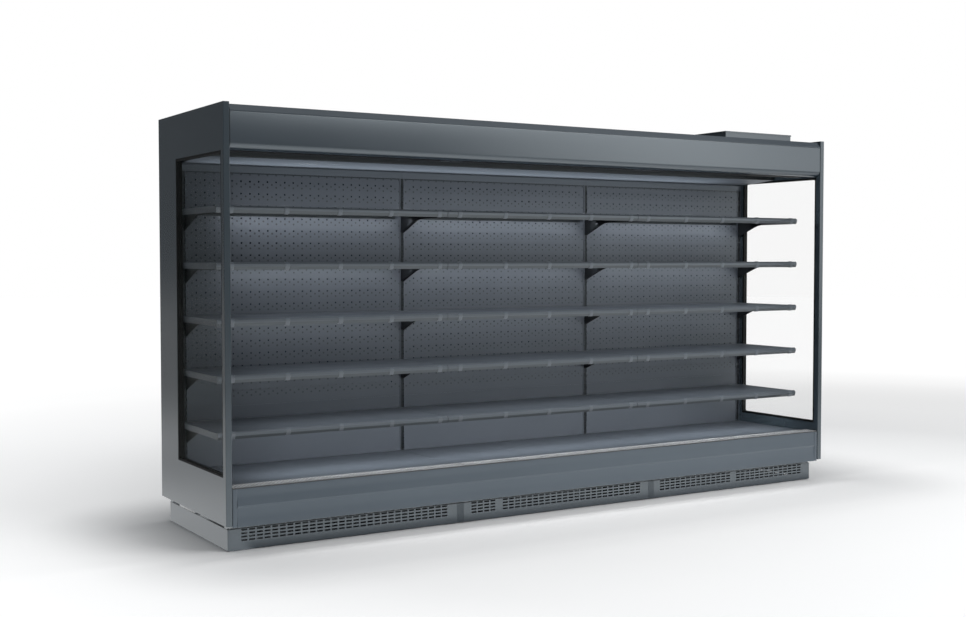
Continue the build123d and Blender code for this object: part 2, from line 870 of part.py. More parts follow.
for index, name in enumerate(section_names):
    save(make_deck_pan(index), f"deck_pan_{name}")
    save(make_return_grille(index), f"return_grille_{name}")


# ------------------------------------------------------------------- fans and coils
section_middles = [(low + high) / 2 for low, high in zip(section_edges, section_edges[1:])]


def make_fan_plate(plane, length, height, radius):
    """Fan plate with its inlet ring and the arms and clamp that hold the motor behind it."""
    with BuildPart(plane) as plate:
        arm_outer = radius + fan_ring_wall + fan_arm_width
        clamp_radius = motor_radius + running_gap
        with BuildSketch(plane):
            Rectangle(length, height)
            Circle(radius, mode=Mode.SUBTRACT)
        extrude(amount=fan_plate_thickness)
        with BuildSketch(plane):
            Circle(radius + fan_ring_wall)
            Circle(radius, mode=Mode.SUBTRACT)
        extrude(amount=fan_ring_length)
        with BuildSketch(plane):
            with PolarLocations(arm_outer / 2, fan_arm_count, start_angle=360 / fan_arm_count / 2):
                Rectangle(arm_outer, fan_arm_width)
            Circle(clamp_radius + motor_clamp_wall)
            Circle(clamp_radius, mode=Mode.SUBTRACT)
            Rectangle(length, height, mode=Mode.INTERSECT)
        extrude(amount=-fan_arm_thickness)
    with BuildPart(plane) as motor:
        Cylinder(motor_radius, motor_length, align=(Align.CENTER, Align.CENTER, Align.MAX))
        Cylinder(shaft_radius, shaft_length, align=(Align.CENTER, Align.CENTER, Align.MIN))
    return [plate, motor]


def make_rotor(plane, tip_radius):
    """Axial fan rotor: a bored hub with pitched blades."""
    blade_length = tip_radius - hub_radius + blade_thickness
    rotor_plane = plane.offset(rotor_start + hub_length / 2)
    with BuildPart(rotor_plane) as rotor:
        Cylinder(hub_radius, hub_length)
        with PolarLocations(hub_radius - blade_thickness + blade_length / 2, blade_count):
            Box(blade_length, blade_chord, blade_thickness, rotation=(blade_angle, 0, 0))
        Cylinder(shaft_radius + running_gap, hub_length, mode=Mode.SUBTRACT)
    return rotor


def finned_coil(x, y, z, fold, rising_air):
    """Heat exchanger: fins crossed by rows of tube, between two end plates."""
    fins_x = (x[0] + coil_end_plate, x[1] - coil_end_plate)
    across, through = (y, z) if rising_air else (z, y)
    face = Plane.XY.offset(through[0]) if rising_air else Plane.XZ.offset(-through[1])
    cells = int((fins_x[1] - fins_x[0] - 2 * coil_fin) / coil_fin_pitch)
    row_pitch = (across[1] - across[0] - coil_tube_wall) / coil_tube_rows
    pieces = []
    with BuildPart() as fins:
        with BuildSketch(face):
            with Locations(((fins_x[0] + fins_x[1]) / 2, (across[0] + across[1]) / 2)):
                Rectangle(fins_x[1] - fins_x[0], across[1] - across[0])
                with GridLocations(coil_fin_pitch, row_pitch, cells, coil_tube_rows):
                    Rectangle(coil_fin_pitch - coil_fin, row_pitch - coil_tube_wall, mode=Mode.SUBTRACT)
        extrude(amount=through[1] - through[0])
    pieces.append(fins)
    for span in ((x[0], fins_x[0]), (fins_x[1], x[1])):
        with BuildPart() as plate:
            block(span, y, (z[0] - fold, z[1]))
        pieces.append(plate)
    return pieces


def evaporator_fan_plane(middle):
    """Fan plane of the evaporator: the air leaves it upwards, into the coil."""
    y = (post_back + wall_inside) / 2
    return Plane((middle, y, fan_plate_height), x_dir=(1, 0, 0), z_dir=(0, 0, 1))


def condenser_fan_plane(middle):
    """Fan plane of the condenser: its ring meets the back of the coil."""
    y = condenser_back + fan_ring_length
    return Plane(
        (middle - unit_shift, y, unit_floor + condenser_height / 2),
        x_dir=(1, 0, 0),
        z_dir=(0, -1, 0),
    )


evaporators, condensers, evaporator_plates, condenser_shrouds = [], [], [], []
for index, middle in enumerate(section_middles):
    plate_x = (
        post_centres[index] + post_width / 2 + fan_plate_end_margin,
        post_centres[index + 1] - post_width / 2 - fan_plate_end_margin,
    )
    plate_length = 2 * min(middle - plate_x[0], plate_x[1] - middle)
    evaporators += finned_coil(
        (plate_x[0] + evaporator_end_margin, plate_x[1] - evaporator_end_margin),
        (post_back + evaporator_front_gap, wall_inside),
        (evaporator_bottom, evaporator_bottom + evaporator_height),
        evaporator_above_fans,
        rising_air=True,
    )
    evaporator_plates += make_fan_plate(
        evaporator_fan_plane(middle), plate_length, wall_inside - post_back, evaporator_fan_radius
    )
    condensers += finned_coil(
        (
            middle - unit_shift - condenser_length / 2,
            middle - unit_shift + condenser_length / 2,
        ),
        (condenser_front, condenser_back),
        (unit_floor + seat_gap, unit_floor + condenser_height),
        seat_gap,
        rising_air=False,
    )
    condenser_shrouds += make_fan_plate(
        condenser_fan_plane(middle), condenser_length, condenser_height, condenser_fan_radius
    )
    name = section_names[index]
    save(
        make_rotor(evaporator_fan_plane(middle), evaporator_fan_radius - rotor_tip_gap),
        f"evaporator_fan_rotor_{name}",
    )
    save(
        make_rotor(condenser_fan_plane(middle), condenser_fan_radius - rotor_tip_gap),
        f"condenser_fan_rotor_{name}",
    )
save_group(evaporators, "evaporator_coils")
save_group(evaporator_plates, "evaporator_fan_plates")
save_group(condensers, "condenser_coils")
save_group(condenser_shrouds, "condenser_fan_shrouds")


# ------------------------------------------------------------------ condensing units
def make_unit_tray(middle):
    """Sheet tray that carries one condensing unit on the frame's runners."""
    with BuildPart() as tray:
        block(
            (middle - unit_tray_length / 2, middle + unit_tray_length / 2),
            (sum(front_beam) / 2, sum(rear_beam) / 2),
            (runner_top, unit_floor),
        )
    return tray


def make_compressor(middle):
    """Hermetic compressor on its foot plate and rubber grommets, with a terminal box."""
    plate_length, plate_depth, plate_thickness = compressor_plate
    plate_bottom = unit_floor + grommet_height
    with BuildPart(Plane((middle, compressor_y, plate_bottom + plate_thickness))) as shell:
        Cylinder(compressor_radius, compressor_height, align=(Align.CENTER, Align.CENTER, Align.MIN))
        fillet(shell.edges().filter_by(GeomType.CIRCLE), compressor_dome)
        terminal_y = terminal_box[1] / 2 - terminal_box_proud - compressor_radius
        with Locations((0, terminal_y, compressor_height / 2)):
            Box(*terminal_box)
    with BuildPart(Plane((middle, compressor_y, plate_bottom))) as plate:
        Box(
            plate_length,
            plate_depth,
            plate_thickness,
            align=(Align.CENTER, Align.CENTER, Align.MIN),
        )
    with BuildPart(Plane((middle, compressor_y, unit_floor))) as grommets:
        spacing_x = plate_length - 2 * grommet_inset
        spacing_y = plate_depth - 2 * grommet_inset
        with GridLocations(spacing_x, spacing_y, 2, 2):
            Cylinder(
                grommet_radius,
                grommet_height,
                align=(Align.CENTER, Align.CENTER, Align.MIN),
            )
    return [shell, plate, grommets]


def make_pipe(points):
    """Copper pipe along straight runs with equal bends."""
    with BuildPart() as pipe:
        with BuildLine() as route:
            FilletPolyline(*points, radius=pipe_bend)
        with BuildSketch(Plane(route.wire() @ 0, z_dir=route.wire() % 0)):
            Circle(pipe_radius)
        sweep()
    return pipe


def make_pipes(middle):
    """Discharge pipe to the condenser and suction pipe up to the tub."""
    condenser_end = middle - unit_shift + condenser_length / 2
    condenser_y = (condenser_front + condenser_back) / 2
    discharge_z = compressor_bottom + discharge_height
    suction_z = compressor_bottom + suction_height
    turn_x = condenser_end + pipe_reach
    discharge = make_pipe(
        [
            (middle + compressor_radius, compressor_y, discharge_z),
            (turn_x, compressor_y, discharge_z),
            (turn_x, condenser_y, discharge_z),
            (condenser_end, condenser_y, discharge_z),
        ]
    )
    suction = make_pipe(
        [
            (middle - compressor_radius, compressor_y, suction_z),
            (middle - compressor_radius - pipe_reach, compressor_y, suction_z),
            (middle - compressor_radius - pipe_reach, compressor_y, tub_bottom),
        ]
    )
    return [discharge, suction]


def make_drip_tray(middle):
    """Open tray beside the compressor, where the defrost water evaporates."""
    length, depth, height = drip_tray
    with BuildPart(Plane((middle + drip_tray_shift, compressor_y + depth / 2, unit_floor))) as tray:
        Box(length, depth, height, align=(Align.CENTER, Align.CENTER, Align.MIN))
        with Locations((0, 0, drip_tray_wall)):
            Box(
                length - 2 * drip_tray_wall,
                depth - 2 * drip_tray_wall,
                height,
                align=(Align.CENTER, Align.CENTER, Align.MIN),
                mode=Mode.SUBTRACT,
            )
    return tray


trays = [make(middle) for middle in section_middles for make in (make_unit_tray, make_drip_tray)]
save_group(trays, "unit_and_drip_trays")
save_group([piece for middle in section_middles for piece in make_compressor(middle)], "compressors")
save_group([pipe for middle in section_middles for pipe in make_pipes(middle)], "refrigerant_pipes")


# ---------------------------------------------------------------------- control box
box_x = (outer_end - box_right_inset - box_length, outer_end - box_right_inset)
box_y = (front + box_front_inset, front + box_front_inset + box_depth)
with BuildPart() as control_box:
    block(box_x, box_y, (canopy_top, canopy_top + box_height))
    block(
        (box_x[0] + box_wall, box_x[1] - box_wall),
        (box_y[0] + box_wall, box_y[1] - box_wall),
        (canopy_top + box_wall, canopy_top + box_height),
        mode=Mode.SUBTRACT,
    )
save(control_box, "control_box")

with BuildPart() as control_box_lid:
    lid_z = canopy_top + box_height
    block(
        (box_x[0] - lid_overhang, box_x[1] + lid_overhang),
        (box_y[0] - lid_overhang, box_y[1] + lid_overhang),
        (lid_z, lid_z + lid_height),
    )
    chamfer(control_box_lid.faces().sort_by(Axis.Z)[-1].edges(), lid_chamfer)
save(control_box_lid, "control_box_lid")
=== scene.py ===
"""Looks of the open multideck display fridge: finishes, rolled sheet, rubber and small clips.

Metres, in the model's own frame: X along the case, Y from the shopper to the back, Z up.
"""

import json
import math

import bpy
import numpy as np
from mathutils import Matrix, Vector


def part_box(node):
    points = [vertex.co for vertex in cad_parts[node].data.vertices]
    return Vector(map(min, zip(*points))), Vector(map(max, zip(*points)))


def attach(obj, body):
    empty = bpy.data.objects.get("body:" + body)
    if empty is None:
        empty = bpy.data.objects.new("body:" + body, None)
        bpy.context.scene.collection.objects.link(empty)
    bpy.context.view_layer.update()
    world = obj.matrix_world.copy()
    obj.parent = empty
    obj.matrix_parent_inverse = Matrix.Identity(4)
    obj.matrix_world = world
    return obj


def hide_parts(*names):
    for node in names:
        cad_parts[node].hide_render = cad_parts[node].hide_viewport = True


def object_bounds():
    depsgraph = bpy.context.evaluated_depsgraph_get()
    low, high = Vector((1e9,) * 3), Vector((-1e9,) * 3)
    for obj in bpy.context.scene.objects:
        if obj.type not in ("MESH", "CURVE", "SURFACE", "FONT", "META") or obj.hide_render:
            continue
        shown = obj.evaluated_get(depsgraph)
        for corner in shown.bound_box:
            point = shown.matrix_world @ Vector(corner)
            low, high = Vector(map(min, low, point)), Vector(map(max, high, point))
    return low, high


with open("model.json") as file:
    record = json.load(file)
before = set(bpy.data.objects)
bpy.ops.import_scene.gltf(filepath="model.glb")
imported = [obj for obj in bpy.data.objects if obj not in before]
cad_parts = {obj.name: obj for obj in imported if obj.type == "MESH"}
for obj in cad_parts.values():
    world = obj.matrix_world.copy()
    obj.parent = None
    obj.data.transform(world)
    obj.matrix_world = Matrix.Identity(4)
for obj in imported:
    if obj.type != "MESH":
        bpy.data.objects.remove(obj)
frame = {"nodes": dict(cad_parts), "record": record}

cad_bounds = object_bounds()
case_low, case_high = cad_bounds

# ------------------------------------------------------------------ sizes, in metres
mm = 0.001
sheet = 2 * mm
section_length = 1.25
section_names = ("left", "centre", "right")
shelf_rows = 5
shelf_names = [
    f"shelf_{row}_{section}" for row in range(1, shelf_rows + 1) for section in section_names
]
gable_thickness = 30 * mm

fascia_lip_radius = 35 * mm
fascia_bend_radius = 3 * mm
fascia_top_flange = 24 * mm
fascia_return = 55 * mm

bumper_depth = 15 * mm
bumper_band_inset = 5 * mm
bumper_flare_drop = 38 * mm
bumper_edge_drop = 82 * mm
bumper_band_drop = 90 * mm
bumper_low_flare_drop = 132 * mm
bumper_foot_inset = 1 * mm
bumper_easing = np.array([3, 12, 4, 4, 14, 2.5]) * mm   # how far each edge is eased, top to foot

clip_width = 24 * mm
clip_thickness = 2.4 * mm
clip_pitch = 282 * mm
clip_first = -550 * mm
clips_per_shelf = 5
rail_depth = 18 * mm
rail_height = 34 * mm
rail_top_bevel = 8 * mm
rail_bottom_bevel = 14 * mm
rail_above_tray = 2 * mm
clip_reach = 0.75              # share of the rail's depth that a clip covers on its top

lip_radius = 3.2 * mm          # soft rubber lip that the gasket presses on the glass
lip_corner = 12 * mm
gasket_width = 8 * mm

panel_middle = 1242.5 * mm     # middle of an outer section's rear panels
hole_pitch = 48 * mm
hole_row = 63 * mm
hole_phase_x = 24 * mm
hole_phase_z = 1246.75 * mm
hole_radius = 5.2 * mm
hole_edge = (0.8, 1.1)         # a drawn hole's soft edge, as shares of its radius
holes_from = 630 * mm          # the lower panels, which end below this, are plain
hole_row_step = 14 * mm        # between neighbouring rows of one band

grille_top = 305.3 * mm
grille_pitch = 14.8 * mm
grille_shade_depths = (0.2 * mm, 0.6 * mm)     # below the grille's top, where the painted shade starts and where it is full
bar_crown_half = 2.7 * mm      # half the width of a grille bar's pale crown, which the painted shade leaves clear
tray_fold_inside = -258 * mm   # behind this, a shelf's upright faces are inside its folds
recess_edge = -70 * mm         # in front of this, the ceiling is the lamp's recess, painted in shade
ceiling_shade = (150 * mm, 180 * mm)   # painted shade darkens the ceiling towards the wall between these
ceiling_low = 1828 * mm        # the ceiling's slope ends here, at its flange on the wall
flange_shadow_band = (1788.5 * mm, 1796 * mm)  # painted shadow under the ceiling's flange, below the wall's top
lamp_holder_from = 560 * mm    # from the middle of a section to its lamp's end holders
post_spread = 617.5 * mm       # from the middle of an outer section to its posts
slot_band_half = 8 * mm        # half the width of a post's two columns of slots


# ------------------------------------------------------------------------- surfaces
def make_piece(name, vertices, faces, smooth_below=35):
    """A mesh object at the origin, smooth except over edges sharper than the given degrees."""
    mesh = bpy.data.meshes.new(name)
    mesh.from_pydata(vertices.reshape(-1, 3).tolist(), [], faces)
    mesh.polygons.foreach_set("use_smooth", np.ones(len(mesh.polygons), bool))
    mesh.set_sharp_from_angle(angle=math.radians(smooth_below))
    mesh.update()
    piece = bpy.data.objects.new(name, mesh)
    bpy.context.scene.collection.objects.link(piece)
    return piece


def grid_faces(rows, columns, first=0, ring_rows=False):
    """Quads over a grid of points stored row by row; each row is a closed ring of columns."""
    r, c = np.meshgrid(np.arange(rows if ring_rows else rows - 1), np.arange(columns), indexing="ij")
    r_next, c_next = (r + 1) % rows, (c + 1) % columns
    quads = np.stack(
        [r * columns + c, r * columns + c_next, r_next * columns + c_next, r_next * columns + c],
        axis=-1,
    )
    return (quads.reshape(-1, 4) + first).tolist()


def arc(centre, radius, start, end, steps):
    """Points on a circle about centre, from the start to the end angle in degrees."""
    angle = np.radians(np.linspace(start, end, steps))
    return np.stack([centre[0] + radius * np.cos(angle), centre[1] + radius * np.sin(angle)], axis=-1)


def extrusion(name, section, x_low, x_high):
    """A closed outline in the YZ plane carried along X, with a flat face at each end.

    The outline runs anticlockwise as seen with +Y to the right and +Z up.
    """
    count = len(section)
    rings = np.zeros((2, count, 3))
    rings[:, :, 1:] = section
    rings[0, :, 0] = x_low
    rings[1, :, 0] = x_high
    faces = grid_faces(2, count)
    caps = [list(range(count - 1, -1, -1)), list(range(count, 2 * count))]
    return make_piece(name, rings, faces + caps)


def thickened(path, thickness):
    """A closed outline round an open path: the path, and back along its copy moved to the left.

    Each point moves along the mean of its two neighbours' normals, lengthened at the bends.
    """
    step = np.diff(path, axis=0)
    step /= np.linalg.norm(step, axis=1)[:, None]
    normal = np.stack([-step[:, 1], step[:, 0]], axis=-1)
    before = np.vstack([normal[:1], normal])
    after = np.vstack([normal, normal[-1:]])
    mean = before + after
    mean /= (mean * before).sum(axis=1)[:, None]
    return np.vstack([path, (path + mean * thickness)[::-1]])


# --------------------------------------------------------------------------- pieces
def make_fascia():
    """Rolled canopy front: flange, flat face, quarter-circle lip of 35 mm and a return upwards."""
    low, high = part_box("canopy_fascia")
    face, back, bottom, top = low.y, high.y, low.z, high.z
    bend, lip = fascia_bend_radius, fascia_lip_radius
    path = np.vstack(
        [
            [[face + fascia_top_flange, top]],
            arc((face + bend, top - bend), bend, 90, 180, 6),
            arc((face + lip, bottom + lip), lip, 180, 270, 24),
            arc((back - bend, bottom + bend), bend, -90, 0, 6),
            [[back, bottom + fascia_return]],
        ]
    )
    return extrusion("canopy_fascia_skin", thickened(path, sheet), low.x, high.x)


def rounded(points, reach):
    """A path whose inner corners are quadratic curves, each starting its reach from the corner."""
    points = np.array(points, float)
    path = [points[:1]]
    share = np.linspace(0, 1, 9)[:, None]
    for before, corner, after, length in zip(points, points[1:], points[2:], reach):
        start, end = (
            corner + (far - corner) / np.linalg.norm(far - corner) * length
            for far in (before, after)
        )
        path.append((1 - share) ** 2 * start + 2 * share * (1 - share) * corner + share**2 * end)
    return np.vstack(path + [points[-1:]])


def make_bumper():
    """Bumper profile: an upright band over an outward flare, twice, all its edges eased."""
    low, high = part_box("bumper")
    top, bottom, back = high.z, low.z, high.y
    face = back - bumper_depth
    band = face + bumper_band_inset
    outline = rounded(
        [
            (back, top),
            (band, top),
            (band, top - bumper_flare_drop),
            (face, top - bumper_edge_drop),
            (band, top - bumper_band_drop),
            (band, top - bumper_low_flare_drop),
            (face + bumper_foot_inset, bottom),
            (back, bottom),
        ],
        bumper_easing,
    )
    return extrusion("bumper_profile", outline, low.x, high.x)


def rail_path(top, front):
    """Front outline of a price rail, from its top face round both bevels to its underside."""
    bottom = top - rail_height
    return np.array(
        [
            [front + rail_depth * clip_reach, top],
            [front + rail_top_bevel, top],
            [front, top - rail_top_bevel],
            [front, bottom + rail_bottom_bevel],
            [front + rail_bottom_bevel / 2, bottom],
            [front + rail_bottom_bevel, bottom],
        ]
    )


def make_rail_clips(body):
    """Label clips that grip a price rail: a strap bent round the rail, with rounded side edges.

    The strap's section is a superellipse across its width, carried along the rail's outline.
    """
    low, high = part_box(body)
    path = rail_path(high.z, low.y)
    step = np.gradient(path, axis=0)
    step /= np.linalg.norm(step, axis=1)[:, None]
    outward = np.stack([step[:, 1], -step[:, 0]], axis=-1)
    angle = np.linspace(0, 2 * np.pi, 16, endpoint=False)
    across = clip_width / 2 * np.sign(np.cos(angle)) * np.abs(np.cos(angle)) ** 0.5
    lift = clip_thickness / 2 * (1 + np.sign(np.sin(angle)) * np.abs(np.sin(angle)) ** 0.5)
    middle = (low.x + high.x) / 2
    vertices, faces = [], []
    for index in range(clips_per_shelf):
        rings = np.zeros((len(path), len(angle), 3))
        rings[:, :, 0] = middle + clip_first + index * clip_pitch + across
        rings[:, :, 1:] = path[:, None, :] + outward[:, None, :] * lift[None, :, None]
        first = index * len(path) * len(angle)
        vertices.append(rings.reshape(-1, 3))
        faces += grid_faces(len(path), len(angle), first)
        last = first + (len(path) - 1) * len(angle)
        faces.append(list(range(first + len(angle) - 1, first - 1, -1)))
        faces.append(list(range(last, last + len(angle))))
    return make_piece(f"{body}_rail_clips", np.vstack(vertices), faces)


def make_glazing_lip(name, x):
    """Soft lip of the glazing gasket: a round bead along a rectangle with rounded corners."""
    low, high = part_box("gable_gaskets")
    y_low, y_high = low.y + gasket_width, high.y - gasket_width
    z_low, z_high = low.z + gasket_width, high.z - gasket_width
    r = lip_corner
    loop = np.vstack(
        [
            arc((y_high - r, z_high - r), r, 0, 90, 7),
            arc((y_low + r, z_high - r), r, 90, 180, 7),
            arc((y_low + r, z_low + r), r, 180, 270, 7),
            arc((y_high - r, z_low + r), r, 270, 360, 7),
        ]
    )
    step = np.roll(loop, -1, axis=0) - np.roll(loop, 1, axis=0)
    step /= np.linalg.norm(step, axis=1)[:, None]
    outward = np.stack([step[:, 1], -step[:, 0]], axis=-1)
    angle = np.linspace(0, 2 * np.pi, 10, endpoint=False)
    rings = np.zeros((len(loop), len(angle), 3))
    rings[:, :, 0] = x + lip_radius * np.cos(angle)
    bead = lip_radius * np.sin(angle)
    rings[:, :, 1:] = loop[:, None, :] + outward[:, None, :] * bead[None, :, None]
    return make_piece(name, rings, grid_faces(len(loop), len(angle), ring_rows=True))


# ------------------------------------------------------------------------ materials
cool = (0.86, 0.95, 1.0, 1.0)  # bluish sheen that the coats' pigment gives


def srgb(code):
    """Linear colour of an sRGB hex value such as "383e42"."""
    channels = np.array([int(code[i:i + 2], 16) for i in (0, 2, 4)]) / 255
    linear = np.where(channels <= 0.04045, channels / 12.92, ((channels + 0.055) / 1.055) ** 2.4)
    return (*linear.tolist(), 1.0)


def add(tree, kind, values=None, links=None, **settings):
    """Adds a node: its settings, the values of its sockets and what is linked into them."""
    made = tree.nodes.new(kind)
    for key, value in settings.items():
        setattr(made, key, value)
    for socket, value in (values or {}).items():
        made.inputs[socket].default_value = value
    for socket, source in (links or {}).items():
        tree.links.new(source, made.inputs[socket])
    return made


def new_coat(name, **values):
    """A new material with one Principled shader; returns it, its tree, shader and coordinates."""
    made = bpy.data.materials.new(name)
    made.use_nodes = True
    tree = made.node_tree
    shader = tree.nodes["Principled BSDF"]
    for socket, value in values.items():
        shader.inputs[socket.replace("_", " ")].default_value = value
    place = add(tree, "ShaderNodeTexCoord").outputs["Object"]
    return made, tree, shader, place


def mottle(tree, place, colour, darker, size, shader):
    """Cloudy change of colour, size metres across, as uneven film thickness gives."""
    noise = add(tree, "ShaderNodeTexNoise", {"Scale": 1 / size, "Detail": 3.0}, {"Vector": place})
    mix = add(
        tree,
        "ShaderNodeMix",
        {"A": srgb(colour), "B": srgb(darker)},
        {"Factor": noise.outputs["Fac"]},
        data_type="RGBA",
    )
    tree.links.new(mix.outputs["Result"], shader.inputs["Base Color"])
    return mix


def texture_bump(tree, place, size, depth, shader):
    """Fine unevenness of the surface: bumps size metres across and depth metres high."""
    noise = add(tree, "ShaderNodeTexNoise", {"Scale": 1 / size, "Detail": 2.0}, {"Vector": place})
    bump = add(
        tree,
        "ShaderNodeBump",
        {"Strength": 0.5, "Distance": depth},
        {"Height": noise.outputs["Fac"]},
    )
    tree.links.new(bump.outputs["Normal"], shader.inputs["Normal"])


def vary_roughness(tree, place, low, high, size, shader, detail=4.0):
    """Roughness that drifts between two values over size metres, as handling leaves it."""
    noise = add(tree, "ShaderNodeTexNoise", {"Scale": 1 / size, "Detail": detail}, {"Vector": place})
    drift = add(
        tree,
        "ShaderNodeMapRange",
        {"To Min": low, "To Max": high},
        {"Value": noise.outputs["Fac"]},
    )
    tree.links.new(drift.outputs["Result"], shader.inputs["Roughness"])


def darkened(tree, colour, mask, code, shader):
    """Base colour that turns to the given shade where the mask is 1."""
    mix = add(
        tree,
        "ShaderNodeMix",
        {"B": srgb(code)},
        {"Factor": mask, "A": colour.outputs["Result"]},
        data_type="RGBA",
    )
    tree.links.new(mix.outputs["Result"], shader.inputs["Base Color"])


def from_middle(tree, across, spacing):
    """X measured from the middle of its section, where the outer middles are at the spacing."""
    section = add(tree, "ShaderNodeMath", {1: 1 / section_length}, {0: across}, operation="MULTIPLY")
    section = add(tree, "ShaderNodeMath", links={0: section.outputs[0]}, operation="ROUND")
    offset = add(
        tree,
        "ShaderNodeMath",
        {1: -spacing},
        {0: section.outputs[0], 2: across},
        operation="MULTIPLY_ADD",
    )
    return offset.outputs[0]


def anthracite_powder_coat():
    """Polyester powder coat baked on folded steel: semi-gloss, clouded a little by handling.

    Its orange peel is about 1 mm across, too fine to show beside a case 3.8 m long.
    """
    made, tree, shader, place = new_coat("anthracite_powder_coat", IOR=1.86, Specular_Tint=cool)
    mottle(tree, place, "222a32", "1f272f", 0.35, shader)
    vary_roughness(tree, place, 0.27, 0.29, 0.4, shader, detail=0.0)
    return made


def interior_powder_coat():
    """The same coat inside the case, lighter and more matt."""
    made, tree, shader, place = new_coat("interior_powder_coat", IOR=1.71, Specular_Tint=cool)
    mottle(tree, place, "3b4046", "363b41", 0.3, shader)
    vary_roughness(tree, place, 0.4, 0.5, 0.1, shader)
    texture_bump(tree, place, 5 * mm, 0.05 * mm, shader)
    return made


def perforated_panel_coat():
    """Coated rear panel: painted shade for the punched holes' neighbouring rows, and a painted shadow
    under the ceiling's flange below its top.

    A band is three rows 14 mm apart, the middle one staggered by half a pitch. The model has the
    first as real holes, and the other two as dark round marks, painted shade where holes show dark.
    """
    made, tree, shader, place = new_coat("perforated_panel_coat", IOR=1.6, Specular_Tint=cool)
    colour = mottle(tree, place, "373b41", "32363c", 0.3, shader)
    vary_roughness(tree, place, 0.4, 0.5, 0.1, shader)
    axes = add(tree, "ShaderNodeSeparateXYZ", links={"Vector": place}).outputs
    local_x = from_middle(tree, axes["X"], panel_middle)
    hole_shade_marks = []
    for step, shift in ((1, 0.5), (2, 0.0)):
        offsets = []
        for value, origin, pitch in (
            (local_x, hole_phase_x + shift * hole_pitch, hole_pitch),
            (axes["Z"], hole_phase_z - step * hole_row_step, hole_row),
        ):
            moved = add(tree, "ShaderNodeMath", {1: origin}, {0: value}, operation="SUBTRACT")
            turned = add(
                tree,
                "ShaderNodeMath",
                {1: pitch / 2, 2: -pitch / 2},
                {0: moved.outputs[0]},
                operation="WRAP",
            )
            offsets.append(turned.outputs[0])
        flat = add(tree, "ShaderNodeCombineXYZ", links={0: offsets[0], 1: offsets[1]})
        reach = add(tree, "ShaderNodeVectorMath", links={0: flat.outputs[0]}, operation="LENGTH")
        # painted shade: a dark disc for each hole of these two rows
        mark = add(
            tree,
            "ShaderNodeMapRange",
            {
                "From Min": hole_radius * hole_edge[0],
                "From Max": hole_radius * hole_edge[1],
                "To Min": 1.0,
                "To Max": 0.0,
            },
            {"Value": reach.outputs["Value"]},
        )
        hole_shade_marks.append(mark.outputs["Result"])
    joined = add(
        tree,
        "ShaderNodeMath",
        links={0: hole_shade_marks[0], 1: hole_shade_marks[1]},
        operation="MAXIMUM",
    )
    above = add(tree, "ShaderNodeMath", {1: holes_from}, {0: axes["Z"]}, operation="GREATER_THAN")
    seen = add(
        tree,
        "ShaderNodeMath",
        links={0: joined.outputs[0], 1: above.outputs[0]},
        operation="MULTIPLY",
    )
    # painted shadow: a dark band just under the ceiling's flange
    flange_shadow = add(
        tree,
        "ShaderNodeMath",
        {1: (flange_shadow_band[0] + flange_shadow_band[1]) / 2, 2: (flange_shadow_band[1] - flange_shadow_band[0]) / 2},
        {0: axes["Z"]},
        operation="COMPARE",
    )
    hole_and_flange_shade = add(
        tree,
        "ShaderNodeMath",
        links={0: seen.outputs[0], 1: flange_shadow.outputs[0]},
        operation="MAXIMUM",
    )
    # near-black painted shade for the holes and painted shadow under the flange
    darkened(tree, colour, hole_and_flange_shade.outputs[0], "14171a", shader)
    return made


def gable_skin():
    """Moulded ABS skin of the end panels: satin, with a fine spark-eroded grain."""
    made, tree, shader, place = new_coat("gable_skin", IOR=1.76, Specular_Tint=cool)
    mottle(tree, place, "2b3339", "272f35", 0.5, shader)
    vary_roughness(tree, place, 0.2, 0.26, 0.2, shader)
    texture_bump(tree, place, 4 * mm, 0.04 * mm, shader)
    return made


def bumper_plastic():
    """Extruded PVC: satin, with faint die lines along its length."""
    made, tree, shader, place = new_coat("bumper_plastic", IOR=1.52, Specular_Tint=cool)
    mottle(tree, place, "434b53", "3e464e", 0.3, shader)
    vary_roughness(tree, place, 0.3, 0.36, 0.15, shader)
    stretched = add(
        tree,
        "ShaderNodeMapping",
        {"Scale": (0.3, 180.0, 180.0)},
        {"Vector": place},
    )
    texture_bump(tree, stretched.outputs["Vector"], 1.0, 0.06 * mm, shader)
    return made


def label_clip_plastic():
    """Injection-moulded polypropylene label clip: smooth, a shade lighter than the rail."""
    made, tree, shader, place = new_coat("label_clip_plastic", IOR=1.49)
    mottle(tree, place, "525960", "4c5359", 0.02, shader)
    vary_roughness(tree, place, 0.3, 0.36, 0.02, shader)
    return made


def grille_plastic():
    """Moulded polystyrene return grille: pale bars, with painted shade between their crowns.

    The painted shade begins beside each bar's crown, and lies on its sides and on the grille's front
    edge.
    """
    made, tree, shader, place = new_coat("grille_plastic", IOR=1.6)
    colour = mottle(tree, place, "dadde0", "ced1d5", 0.15, shader)
    vary_roughness(tree, place, 0.35, 0.5, 0.05, shader)
    axes = add(tree, "ShaderNodeSeparateXYZ", links={"Vector": place}).outputs
    depth = add(
        tree,
        "ShaderNodeMapRange",
        {
            "From Min": grille_top - grille_shade_depths[1],
            "From Max": grille_top - grille_shade_depths[0],
            "To Min": 1.0,
            "To Max": 0.0,
        },
        {"Value": axes["Z"]},
    )
    moved = add(
        tree,
        "ShaderNodeMath",
        {1: grille_pitch / 2},
        {0: from_middle(tree, axes["X"], section_length)},
        operation="SUBTRACT",
    )
    turned = add(
        tree,
        "ShaderNodeMath",
        {1: grille_pitch / 2, 2: -grille_pitch / 2},
        {0: moved.outputs[0]},
        operation="WRAP",
    )
    apart = add(tree, "ShaderNodeMath", links={0: turned.outputs[0]}, operation="ABSOLUTE")
    beside = add(
        tree,
        "ShaderNodeMath",
        {1: bar_crown_half},
        {0: apart.outputs[0]},
        operation="GREATER_THAN",
    )
    grille_shade = add(
        tree,
        "ShaderNodeMath",
        links={0: depth.outputs["Result"], 1: beside.outputs[0]},
        operation="MAXIMUM",
    )
    # painted shade: near-black beside the crowns and below the grille's top
    darkened(tree, colour, grille_shade.outputs[0], "0c0e10", shader)
    return made


